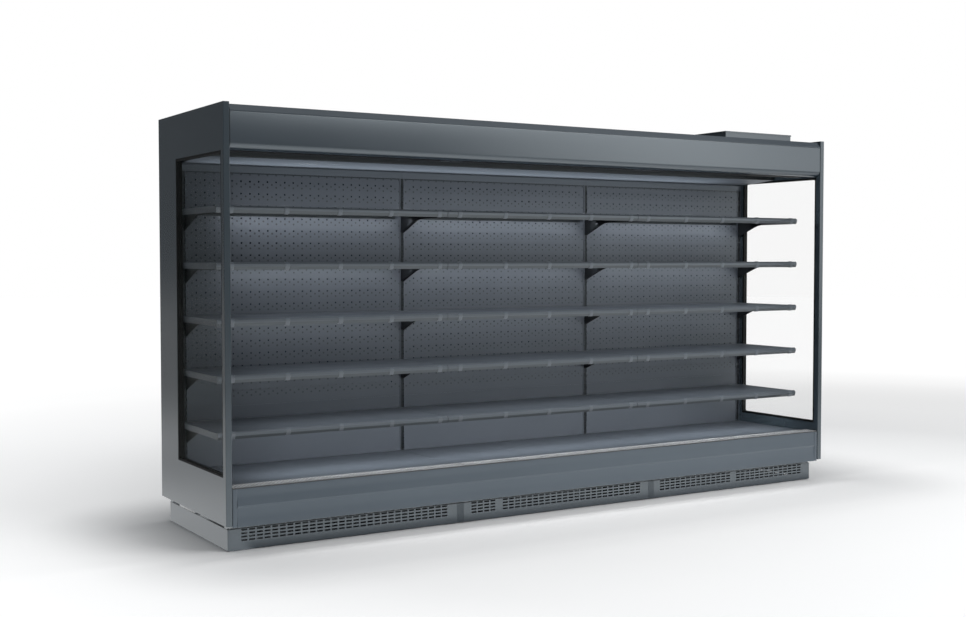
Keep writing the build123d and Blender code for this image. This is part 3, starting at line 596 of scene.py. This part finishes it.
def glazing_rubber():
    """Extruded EPDM rubber: matt black with a dusty bloom."""
    made, tree, shader, place = new_coat("glazing_rubber", IOR=1.3)
    mottle(tree, place, "060707", "0b0c0c", 0.08, shader)
    vary_roughness(tree, place, 0.6, 0.75, 0.05, shader)
    texture_bump(tree, place, 3 * mm, 0.05 * mm, shader)
    return made


def toughened_glass():
    """Clear toughened float glass, seen almost clean: a faint green body and a smooth face."""
    made, tree, shader, place = new_coat("toughened_glass", IOR=1.52, Alpha=0.02, Roughness=0.03)
    mottle(tree, place, "4a5652", "434f4b", 0.4, shader)
    return made


def galvanised_steel():
    """Hot-dip galvanised sheet: dull grey with zinc spangle about 12 mm across."""
    made, tree, shader, place = new_coat("galvanised_steel", Metallic=1.0)
    spangle = add(tree, "ShaderNodeTexVoronoi", {"Scale": 1 / (12 * mm)}, {"Vector": place})
    grey = add(
        tree,
        "ShaderNodeMix",
        {"A": srgb("8f9396"), "B": srgb("a5a9ac")},
        {"Factor": spangle.outputs["Color"]},
        data_type="RGBA",
    )
    tree.links.new(grey.outputs["Result"], shader.inputs["Base Color"])
    vary_roughness(tree, place, 0.42, 0.58, 0.03, shader)
    return made


def aluminium_fins():
    """Bare rolled aluminium fins, dim because most light is lost between them."""
    made, tree, shader, place = new_coat("aluminium_fins", Metallic=1.0)
    mottle(tree, place, "55595c", "484c4f", 0.05, shader)
    vary_roughness(tree, place, 0.3, 0.45, 0.04, shader)
    return made


def moulded_black_plastic():
    """Glass-filled nylon and ABS, moulded: deep grey with a fine matt grain."""
    made, tree, shader, place = new_coat("moulded_black_plastic", IOR=1.53)
    mottle(tree, place, "17191b", "202326", 0.1, shader)
    vary_roughness(tree, place, 0.48, 0.6, 0.05, shader)
    texture_bump(tree, place, 2 * mm, 0.05 * mm, shader)
    return made


def compressor_enamel():
    """Sprayed black enamel on pressed steel: glossy with slight runs."""
    made, tree, shader, place = new_coat("compressor_enamel", IOR=1.5)
    mottle(tree, place, "101214", "17191c", 0.1, shader)
    vary_roughness(tree, place, 0.22, 0.34, 0.05, shader)
    texture_bump(tree, place, 8 * mm, 0.1 * mm, shader)
    return made


def copper_tube():
    """Drawn copper tube, slightly browned by handling."""
    made, tree, shader, place = new_coat("copper_tube", Metallic=1.0)
    mottle(tree, place, "b87455", "8f5a43", 0.04, shader)
    vary_roughness(tree, place, 0.28, 0.42, 0.03, shader)
    return made


def lamp_cover():
    """Extruded smoked lamp cover, black and smooth as the lamps are off, with a painted highlight of
    lighter grey on its end holders.
    """
    made, tree, shader, place = new_coat("lamp_cover", IOR=1.3)
    colour = mottle(tree, place, "0a0b0c", "070809", 0.2, shader)
    vary_roughness(tree, place, 0.3, 0.4, 0.05, shader)
    across = add(tree, "ShaderNodeSeparateXYZ", links={"Vector": place}).outputs["X"]
    apart = add(
        tree,
        "ShaderNodeMath",
        links={0: from_middle(tree, across, section_length)},
        operation="ABSOLUTE",
    )
    holder = add(
        tree,
        "ShaderNodeMath",
        {1: lamp_holder_from},
        {0: apart.outputs[0]},
        operation="GREATER_THAN",
    )
    # painted highlight: the end holders a lighter grey, for their glints
    darkened(tree, colour, holder.outputs[0], "2c3035", shader)
    return made


def slotted_post_coat():
    """Interior coat of the uprights, black along the close rows of slots, which see no light."""
    made, tree, shader, place = new_coat("slotted_post_coat", IOR=1.6, Specular_Tint=cool)
    colour = mottle(tree, place, "373b41", "32363c", 0.3, shader)
    vary_roughness(tree, place, 0.4, 0.5, 0.1, shader)
    across = add(tree, "ShaderNodeSeparateXYZ", links={"Vector": place}).outputs["X"]
    for offset in (panel_middle, post_spread):
        folded = add(tree, "ShaderNodeMath", links={0: across}, operation="ABSOLUTE")
        moved = add(
            tree,
            "ShaderNodeMath",
            {1: offset},
            {0: folded.outputs[0]},
            operation="SUBTRACT",
        )
        across = moved.outputs[0]
    apart = add(tree, "ShaderNodeMath", links={0: across}, operation="ABSOLUTE")
    inside = add(
        tree,
        "ShaderNodeMath",
        {1: slot_band_half},
        {0: apart.outputs[0]},
        operation="LESS_THAN",
    )
    darkened(tree, colour, inside.outputs[0], "050607", shader)
    return made


def shelf_coat():
    """Interior coat of a shelf, dark under the tray and inside its folds, where no light falls."""
    made, tree, shader, place = new_coat("shelf_coat", IOR=1.71, Specular_Tint=cool)
    colour = mottle(tree, place, "3d4248", "383d43", 0.3, shader)
    vary_roughness(tree, place, 0.4, 0.5, 0.1, shader)
    normal = add(tree, "ShaderNodeTexCoord").outputs["Normal"]
    facing = add(tree, "ShaderNodeSeparateXYZ", links={"Vector": normal}).outputs
    below = add(
        tree,
        "ShaderNodeMapRange",
        {"From Min": -0.6, "From Max": -0.2, "To Min": 1.0, "To Max": 0.0},
        {"Value": facing["Z"]},
    )
    depth = add(tree, "ShaderNodeSeparateXYZ", links={"Vector": place}).outputs["Y"]
    behind = add(tree, "ShaderNodeMath", {1: tray_fold_inside}, {0: depth}, operation="GREATER_THAN")
    forward = add(tree, "ShaderNodeMath", {1: -0.5}, {0: facing["Y"]}, operation="LESS_THAN")
    folded = add(
        tree,
        "ShaderNodeMath",
        links={0: behind.outputs[0], 1: forward.outputs[0]},
        operation="MULTIPLY",
    )
    shaded = add(
        tree,
        "ShaderNodeMath",
        links={0: below.outputs["Result"], 1: folded.outputs[0]},
        operation="MAXIMUM",
    )
    darkened(tree, colour, shaded.outputs[0], "0a0c0e", shader)
    return made


def ceiling_coat():
    """Interior coat of the ceiling, with painted shade in the lamp's recess and along the wall."""
    made, tree, shader, place = new_coat("ceiling_coat", IOR=1.71, Specular_Tint=cool)
    colour = mottle(tree, place, "3b4046", "363b41", 0.3, shader)
    vary_roughness(tree, place, 0.4, 0.5, 0.1, shader)
    axes = add(tree, "ShaderNodeSeparateXYZ", links={"Vector": place}).outputs
    recess = add(tree, "ShaderNodeMath", {1: recess_edge}, {0: axes["Y"]}, operation="LESS_THAN")
    rear = add(
        tree,
        "ShaderNodeMapRange",
        {"From Min": ceiling_shade[0], "From Max": ceiling_shade[1]},
        {"Value": axes["Y"]},
    )
    slope = add(tree, "ShaderNodeMath", {1: ceiling_low}, {0: axes["Z"]}, operation="GREATER_THAN")
    corner = add(
        tree,
        "ShaderNodeMath",
        links={0: rear.outputs["Result"], 1: slope.outputs[0]},
        operation="MULTIPLY",
    )
    recess_and_wall_shade = add(
        tree,
        "ShaderNodeMath",
        links={0: recess.outputs[0], 1: corner.outputs[0]},
        operation="MAXIMUM",
    )
    # painted shade: near-black in the lamp's recess and next to the wall
    darkened(tree, colour, recess_and_wall_shade.outputs[0], "060708", shader)
    return made


def shaded_bracket_coat():
    """Matt near-black coat of the shelf brackets over cut and folded steel, as painted shade for the
    shadow that they sit in.
    """
    made, tree, shader, place = new_coat("shaded_bracket_coat", IOR=1.4)
    # near-black base colour: painted shade
    mottle(tree, place, "131518", "0f1113", 0.1, shader)
    vary_roughness(tree, place, 0.5, 0.6, 0.05, shader)
    texture_bump(tree, place, 5 * mm, 0.05 * mm, shader)
    return made


def trim_coat():
    """Powder coat of the tilted strip above the fascia: less glossy than the fascia's."""
    made, tree, shader, place = new_coat("trim_coat", IOR=1.5, Specular_Tint=cool)
    mottle(tree, place, "343b42", "2f363d", 0.35, shader)
    vary_roughness(tree, place, 0.35, 0.42, 0.12, shader)
    texture_bump(tree, place, 5 * mm, 0.05 * mm, shader)
    return made


def roof_coat():
    """Powder coat of the roof, dulled by the dust that lies on it, so that it mirrors nothing."""
    made, tree, shader, place = new_coat("roof_coat", IOR=1.4)
    mottle(tree, place, "343a40", "2b3036", 0.3, shader)
    vary_roughness(tree, place, 0.65, 0.75, 0.15, shader)
    return made


def cover_coat():
    """Powder coat of the covers over the kick plates' joints: duller than the plates'."""
    made, tree, shader, place = new_coat("cover_coat", IOR=1.66, Specular_Tint=cool)
    mottle(tree, place, "222a32", "1f272f", 0.35, shader)
    vary_roughness(tree, place, 0.35, 0.42, 0.12, shader)
    return made


finishes = {
    "graphite_powder_coat": anthracite_powder_coat(),
    "interior_powder_coat": interior_powder_coat(),
    "graphite_panel": gable_skin(),
    "grey_bumper_plastic": bumper_plastic(),
    "light_grille_plastic": grille_plastic(),
    "black_rubber": glazing_rubber(),
    "black_plastic": moulded_black_plastic(),
    "clear_glass": toughened_glass(),
    "galvanised_steel": galvanised_steel(),
    "aluminium_fins": aluminium_fins(),
    "black_enamel": compressor_enamel(),
    "copper_tube": copper_tube(),
    "lamp_plastic": lamp_cover(),
}
own_finishes = {
    "rear_air_panels": perforated_panel_coat(),
    "upright_posts": slotted_post_coat(),
    "ceiling_panel": ceiling_coat(),
    "shelf_brackets": shaded_bracket_coat(),
    "canopy_trim": trim_coat(),
    "roof_panel": roof_coat(),
    "kick_joint_covers": cover_coat(),
}
own_finishes.update(dict.fromkeys(shelf_names, shelf_coat()))
clip_finish = label_clip_plastic()


def dress(piece, finish):
    """Gives an object one material."""
    piece.data.materials.clear()
    piece.data.materials.append(finish)


for part in frame["record"]["subparts"]:
    node, slot = part["node"], part["material_slot"]
    dress(frame["nodes"][node], own_finishes.get(node, finishes[slot]))


def place_piece(piece, body, slot, finish, *nodes):
    """Finishes a new piece, seats it on its body and hides the nodes that it stands for."""
    dress(piece, finish)
    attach(piece, body)
    if nodes:
        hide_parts(*nodes)


for make, slot, node in (
    (make_fascia, "graphite_powder_coat", "canopy_fascia"),
    (make_bumper, "grey_bumper_plastic", "bumper"),
):
    place_piece(make(), "case", slot, finishes[slot], node)
for shelf in shelf_names:
    place_piece(make_rail_clips(shelf), shelf, "interior_powder_coat", clip_finish)
gasket_low, gasket_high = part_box("gable_gaskets")
for side, lip_x in (
    ("left_outer", gasket_low.x + lip_radius),
    ("left_inner", case_low.x + gable_thickness - lip_radius),
    ("right_inner", case_high.x - gable_thickness + lip_radius),
    ("right_outer", gasket_high.x - lip_radius),
):
    lip = make_glazing_lip(f"glazing_lip_{side}", lip_x)
    place_piece(lip, "case", "black_rubber", finishes["black_rubber"])


# ---------------------------------------------------------------------------- stage
floor_radius = 40.0
floor_segments = 96
paper_shade = 0.8              # how much light the paper throws back beside the case
paper_fade = (2.8, 8.5)        # the paper turns to plain white light between these radii
# The paper's own light, as pairs of radius and strength: what the eye sees, what the case gets.
seen_glow = (
    (0.0, 0.27),
    (2.2, 0.27),
    (3.0, 0.3),
    (4.4, 0.55),
    (7.0, 0.9),
    (8.5, 1.0),
    (floor_radius, 1.0),
)
thrown_glow = (
    (0.0, 0.95),
    (1.2, 0.95),
    (2.2, 0.9),
    (3.2, 0.4),
    (4.5, 0.6),
    (7.0, 0.32),
    (floor_radius, 0.4),
)
seen_centre = (1.4, -0.3, 0.0)  # the painted shade that the eye sees lies more to the right
shade_centre = (0.15, -0.1, 0.0)       # middle of the painted soft shadow under the case
plinth_half = (1.874, 0.42, 1.0)       # the painted shadow is full within this of its middle
seen_shade_reach = 0.9         # how far the case's painted soft shadow runs over the paper
thrown_shade_reach = 0.05


def radial_glow(tree, reach, stops):
    """Strength of the floor's light by its distance from the middle, straight between stops."""
    share = add(tree, "ShaderNodeMapRange", {"From Max": floor_radius}, {"Value": reach})
    ramp = add(tree, "ShaderNodeValToRGB", links={"Fac": share.outputs["Result"]})
    steps = ramp.color_ramp.elements
    while len(steps) < len(stops):
        steps.new(0.5)
    for step, (radius, strength) in zip(steps, stops):
        step.position = radius / floor_radius
        step.color = (strength, strength, strength, 1)
    return ramp.outputs["Color"]


def make_floor():
    """Round floor: a polar grid whose radius grows from near 0 to the rim.

    The eye sees paper with a painted soft shadow round the case, where its glow is turned down; what it
    throws on the case is separate.
    """
    radii = np.concatenate([np.linspace(0.02, 10, 20), np.linspace(15, floor_radius, 6)])
    angle = np.linspace(0, 2 * np.pi, floor_segments, endpoint=False)
    rings = np.zeros((len(radii), len(angle), 3))
    rings[:, :, 0] = radii[:, None] * np.cos(angle)
    rings[:, :, 1] = radii[:, None] * np.sin(angle)
    floor = make_piece("studio_floor", rings, grid_faces(len(radii), len(angle)))
    made = bpy.data.materials.new("studio_floor_paper")
    made.use_nodes = True
    tree = made.node_tree
    shader = tree.nodes["Principled BSDF"]
    shader.inputs["Roughness"].default_value = 0.7
    shader.inputs["Emission Color"].default_value = (1, 1, 1, 1)
    place = add(tree, "ShaderNodeTexCoord").outputs["Object"]
    reach = add(tree, "ShaderNodeVectorMath", links={0: place}, operation="LENGTH").outputs["Value"]
    seen_place = add(tree, "ShaderNodeVectorMath", {1: seen_centre}, {0: place}, operation="SUBTRACT")
    seen_reach = add(tree, "ShaderNodeVectorMath", links={0: seen_place.outputs[0]}, operation="LENGTH")
    paper = add(
        tree,
        "ShaderNodeMapRange",
        {
            "From Min": paper_fade[0],
            "From Max": paper_fade[1],
            "To Min": paper_shade,
            "To Max": 0.0,
        },
        {"Value": reach},
        interpolation_type="SMOOTHSTEP",
    )
    tree.links.new(paper.outputs["Result"], shader.inputs["Base Color"])
    shaded = add(tree, "ShaderNodeVectorMath", {1: shade_centre}, {0: place}, operation="SUBTRACT")
    folded = add(tree, "ShaderNodeVectorMath", links={0: shaded.outputs[0]}, operation="ABSOLUTE")
    beyond = add(
        tree,
        "ShaderNodeVectorMath",
        {1: plinth_half},
        {0: folded.outputs[0]},
        operation="SUBTRACT",
    )
    beside = add(
        tree,
        "ShaderNodeVectorMath",
        {1: (0, 0, 0)},
        {0: beyond.outputs[0]},
        operation="MAXIMUM",
    )
    apart = add(tree, "ShaderNodeVectorMath", links={0: beside.outputs[0]}, operation="LENGTH")
    strengths = []
    for distance, stops, shade_reach in (
        (seen_reach.outputs["Value"], seen_glow, seen_shade_reach),
        (reach, thrown_glow, thrown_shade_reach),
    ):
        # painted shadow: the glow is multiplied by this share, which falls to 0 near the case
        unshadowed_share = add(
            tree,
            "ShaderNodeMapRange",
            {"From Max": shade_reach},
            {"Value": apart.outputs["Value"]},
            interpolation_type="SMOOTHSTEP",
        )
        lit = add(
            tree,
            "ShaderNodeMath",
            links={0: radial_glow(tree, distance, stops), 1: unshadowed_share.outputs["Result"]},
            operation="MULTIPLY",
        )
        strengths.append(lit.outputs[0])
    strength = add(
        tree,
        "ShaderNodeMix",
        links={
            "Factor": add(tree, "ShaderNodeLightPath").outputs["Is Camera Ray"],
            "A": strengths[1],
            "B": strengths[0],
        },
        data_type="FLOAT",
    )
    tree.links.new(strength.outputs["Result"], shader.inputs["Emission Strength"])
    floor.data.materials.append(made)


def make_world():
    """White for the eye, a dim grey for what the case mirrors."""
    world = bpy.data.worlds.new("studio")
    bpy.context.scene.world = world
    world.use_nodes = True
    tree = world.node_tree
    seen = add(tree, "ShaderNodeLightPath").outputs["Is Camera Ray"]
    shade = add(
        tree,
        "ShaderNodeMix",
        {"A": (0.14, 0.15, 0.16, 1), "B": (1, 1, 1, 1)},
        {"Factor": seen},
        data_type="RGBA",
    )
    tree.links.new(shade.outputs["Result"], tree.nodes["Background"].inputs["Color"])


def aim(thing, target):
    """Turns a light or camera so that it looks at a point."""
    direction = np.array(target) - np.array(thing.location)
    flat = math.hypot(direction[0], direction[1])
    thing.rotation_euler = (math.atan2(flat, -direction[2]), 0, math.atan2(-direction[0], direction[1]))


def make_softbox(name, place, target, size, radiance, mirrored=True):
    """Rectangular softbox of the given radiance, hidden from the eye."""
    light = bpy.data.lights.new(name, "AREA")
    light.shape = "RECTANGLE"
    light.size, light.size_y = size
    light.energy = radiance * math.pi * size[0] * size[1]
    box = bpy.data.objects.new(name, light)
    box.location = place
    aim(box, target)
    box.visible_camera = False
    box.visible_glossy = mirrored
    bpy.context.scene.collection.objects.link(box)


# The strips in the bays, in metres. A drop is measured down from the tray's top.
strip_span = (-1.66, 1.8)      # the strips' ends along X
ceiling_strip_span = (-1.8, 1.55)
rail_radiance = (300.0, 150.0, 104.0, 112.0)    # shelf rows 1 to 4
rail_strip_depth, rail_strip_drop, rail_strip_width = -0.245, 12 * mm, 8 * mm
rail_strip_target = 0.02       # Y of what a rail strip points at, on the tray or deck below
wash_radiance = {3: 30.0, 4: 55.0, 5: 94.0}     # shelf rows that have a strip by the wall
wall_strip_depth, wall_strip_drop, wall_strip_width = 0.1, 34 * mm, 10 * mm
wall_depth, wall_target_drop = 0.225, 130 * mm
canopy_strip_width = 10 * mm
canopy_strips = (              # name, place and target as (Y, Z), radiance, span
    ("top_wall_strip", (-0.05, 1.62), (wall_depth, 1.75), 80.0, strip_span),
    ("ceiling_strip", (0.2, 1.7), (-0.1, 1.745), 230.0, ceiling_strip_span),
)
softboxes = (                  # name, place, target, size, radiance
    ("overhead", (0.0, -1.0, 6.5), (0, -1.0, 0), (11, 8), 0.86),
    ("front_high", (4.2, -6.5, 6.0), (1.8, 0, 0.8), (6.4, 3), 7.3),
    ("right_front", (8.5, -6.5, 2.6), (0, 0, 1.4), (5, 4), 1.4),
    ("right_front_inner", (6.2, -8.2, 2.6), (0, 0, 1.4), (3.2, 4), 1.75),
)


def make_strip(name, place, target, width, radiance, span=strip_span):
    """Long thin softbox along X that lights the inside and shows in no reflection.

    Its place and target are points in the YZ plane.
    """
    middle = (span[0] + span[1]) / 2
    size = (span[1] - span[0], width)
    make_softbox(name, (middle, *place), (middle, *target), size, radiance, mirrored=False)


def light_bays():
    """Strips behind the price rails, under the shelves by the wall and under the canopy.

    They stand in for the light that the photograph's bright room throws into the bays.
    """
    tops = [
        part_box(f"shelf_{row}_centre")[1].z - rail_above_tray for row in range(1, shelf_rows + 1)
    ]
    floors = [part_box("deck_pan_centre")[1].z] + tops
    for row, radiance in enumerate(rail_radiance, start=1):
        place = (rail_strip_depth, tops[row - 1] - rail_strip_drop)
        target = (rail_strip_target, floors[row - 1])
        make_strip(f"rail_strip_{row}", place, target, rail_strip_width, radiance)
    for row, radiance in wash_radiance.items():
        place = (wall_strip_depth, tops[row - 1] - wall_strip_drop)
        target = (wall_depth, tops[row - 1] - wall_target_drop)
        make_strip(f"wall_strip_{row}", place, target, wall_strip_width, radiance)
    for name, place, target, radiance, span in canopy_strips:
        make_strip(name, place, target, canopy_strip_width, radiance, span)


make_floor()
make_world()
light_bays()
for softbox in softboxes:
    make_softbox(*softbox)

# The view of the photograph, as it was solved from the case's own edges.
camera_place = (-3.9655, -6.0198, 1.3534)
camera_turn = 31.76            # degrees to the right of straight at the front
camera_dip = 2.21              # degrees down
film_width = 36                # in millimetres, as the lens below
camera_lens = 47.8
camera_data = bpy.data.cameras.new("camera")
camera_data.sensor_width = film_width
camera_data.lens = camera_lens
camera = bpy.data.objects.new("camera", camera_data)
camera.location = camera_place
camera.rotation_euler = (math.radians(90 - camera_dip), 0, math.radians(-camera_turn))
bpy.context.scene.collection.objects.link(camera)
bpy.context.scene.camera = camera
bpy.context.scene.view_settings.view_transform = "Standard"
